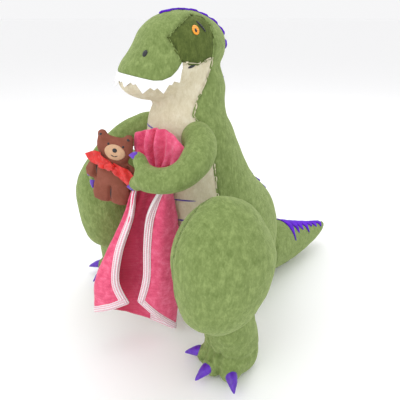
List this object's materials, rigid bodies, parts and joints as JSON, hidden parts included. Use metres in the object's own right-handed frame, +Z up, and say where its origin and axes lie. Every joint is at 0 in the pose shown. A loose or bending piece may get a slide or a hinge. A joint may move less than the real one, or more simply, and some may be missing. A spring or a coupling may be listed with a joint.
{
  "type": "stuffed dinosaur",
  "caption": "Standing plush dinosaur with sprung seams at neck, arms, hips, ankles and tail, hugging a felt bear and a small fleece blanket.",
  "frame": {"origin": "on the floor under the centre of the bounding box, the plane that both soles and the tail rest on", "axes": "+Z up, the dinosaur faces -Y, its left side is +X"},
  "size_m": [0.2626, 0.3266, 0.2801],
  "materials": {
    "plush_green": "short-pile velour plush, mottled nap",
    "plush_dark_green": "short-pile velour plush brushed the other way, darker",
    "plush_cream": "smooth short-pile cream velour",
    "felt_white": "stiff white craft felt",
    "felt_purple": "stiff violet craft felt",
    "satin_purple": "shiny violet satin, lightly stuffed",
    "thread_orange": "dense satin-stitch embroidery",
    "thread_dark": "dense satin-stitch embroidery",
    "fleece_pink": "brushed pink fleece",
    "lace_white": "white lace edging ribbon",
    "felt_brown": "soft brown craft felt",
    "felt_tan": "soft tan craft felt",
    "satin_red": "red satin ribbon",
    "fibre_fill": "loose polyester fibre",
    "pellet_cloth": "tight woven pellet pouch"
  },
  "bodies": {
    "torso": {"belly_panel": "plush_cream", "side_panel_left": "plush_green", "side_panel_right": "plush_green", "torso_stuffing": "fibre_fill", "pellet_bag": "pellet_cloth", "back_felt": "felt_purple"},
    "neck": {"neck_stuffing": "fibre_fill"},
    "head": {"jaw_panel": "plush_cream", "snout_panel": "plush_green", "cheek_panel_left": "plush_dark_green", "cheek_panel_right": "plush_dark_green", "crown_panel": "plush_green", "head_stuffing": "fibre_fill", "teeth": "felt_white", "head_felt": "felt_purple", "eye_left": "thread_orange", "eye_right": "thread_orange", "pupil_left": "thread_dark", "pupil_right": "thread_dark", "brow_left": "thread_dark", "brow_right": "thread_dark", "mouth_stitch_left": "thread_dark", "mouth_stitch_right": "thread_dark", "nostril_left": "thread_dark", "nostril_right": "thread_dark"},
    "tail": {"tail_panel_left": "plush_green", "tail_panel_right": "plush_green", "tail_stuffing": "fibre_fill", "tail_felt": "felt_purple"},
    "arm_left": {"arm_skin_left": "plush_green", "arm_stuffing_left": "fibre_fill", "finger_claw_left_1": "satin_purple", "finger_claw_left_2": "satin_purple", "bear_front": "felt_brown", "bear_back": "felt_brown", "bear_stuffing": "fibre_fill", "bear_muzzle": "felt_tan", "bear_nose": "thread_dark", "ribbon_bow": "satin_red"},
    "arm_right": {"arm_skin_right": "plush_green", "arm_stuffing_right": "fibre_fill", "finger_claw_right_1": "satin_purple", "finger_claw_right_2": "satin_purple"},
    "blanket": {"blanket": "fleece_pink", "blanket_trim": "lace_white"},
    "leg_left": {"thigh_skin_left": "plush_green", "thigh_stuffing_left": "fibre_fill"},
    "foot_left": {"foot_skin_left": "plush_green", "foot_stuffing_left": "fibre_fill", "foot_claw_left_1": "satin_purple", "foot_claw_left_2": "satin_purple", "foot_claw_left_3": "satin_purple"},
    "leg_right": {"thigh_skin_right": "plush_green", "thigh_stuffing_right": "fibre_fill"},
    "foot_right": {"foot_skin_right": "plush_green", "foot_stuffing_right": "fibre_fill", "foot_claw_right_1": "satin_purple", "foot_claw_right_2": "satin_purple", "foot_claw_right_3": "satin_purple"}
  },
  "joints": [
    {"name": "head_turn", "type": "hinge", "parent": "torso", "child": "neck", "pos_m": [0.01332, -0.06969, 0.222], "axis": [0, 0, 1], "range_deg": [-25, 25], "stiffness_Nm_per_rad": 0.3},
    {"name": "head_nod", "type": "hinge", "parent": "neck", "child": "head", "pos_m": [0.01332, -0.06969, 0.222], "axis": [0.9659, -0.2588, 0], "range_deg": [-10, 10], "stiffness_Nm_per_rad": 0.6},
    {"name": "tail_wag", "type": "hinge", "parent": "torso", "child": "tail", "pos_m": [0.01332, 0.04531, 0.034], "axis": [0, 0, 1], "range_deg": [-15, 15], "stiffness_Nm_per_rad": 0.3},
    {"name": "shoulder_left", "type": "hinge", "parent": "torso", "child": "arm_left", "pos_m": [0.05032, -0.07869, 0.199], "axis": [-1, 0, 0], "range_deg": [-5, 12], "stiffness_Nm_per_rad": 0.6},
    {"name": "shoulder_right", "type": "hinge", "parent": "torso", "child": "arm_right", "pos_m": [-0.02368, -0.07869, 0.199], "axis": [-1, 0, 0], "range_deg": [-5, 12], "stiffness_Nm_per_rad": 0.6},
    {"name": "blanket_hang", "type": "hinge", "parent": "arm_left", "child": "blanket", "pos_m": [0.03332, -0.12069, 0.166], "axis": [-1, 0, 0], "range_deg": [-12, 5], "stiffness_Nm_per_rad": 0.05},
    {"name": "hip_left", "type": "hinge", "parent": "torso", "child": "leg_left", "pos_m": [0.06232, -0.10169, 0.103], "axis": [-1, 0, 0], "range_deg": [-15, 35], "stiffness_Nm_per_rad": 1},
    {"name": "hip_right", "type": "hinge", "parent": "torso", "child": "leg_right", "pos_m": [-0.03568, -0.09369, 0.105], "axis": [-1, 0, 0], "range_deg": [-15, 35], "stiffness_Nm_per_rad": 1},
    {"name": "ankle_left", "type": "hinge", "parent": "leg_left", "child": "foot_left", "pos_m": [0.09132, -0.08869, 0.041], "axis": [-1, 0, 0], "range_deg": [-12, 12], "stiffness_Nm_per_rad": 0.6},
    {"name": "ankle_right", "type": "hinge", "parent": "leg_right", "child": "foot_right", "pos_m": [-0.09368, -0.08169, 0.041], "axis": [-0.7071, 0.7071, 0], "range_deg": [-12, 12], "stiffness_Nm_per_rad": 0.6}
  ],
  "couplings": [
    {"joint": "shoulder_right", "follows": "shoulder_left", "ratio": 1},
    {"joint": "blanket_hang", "follows": "shoulder_left", "ratio": -1}
  ]
}
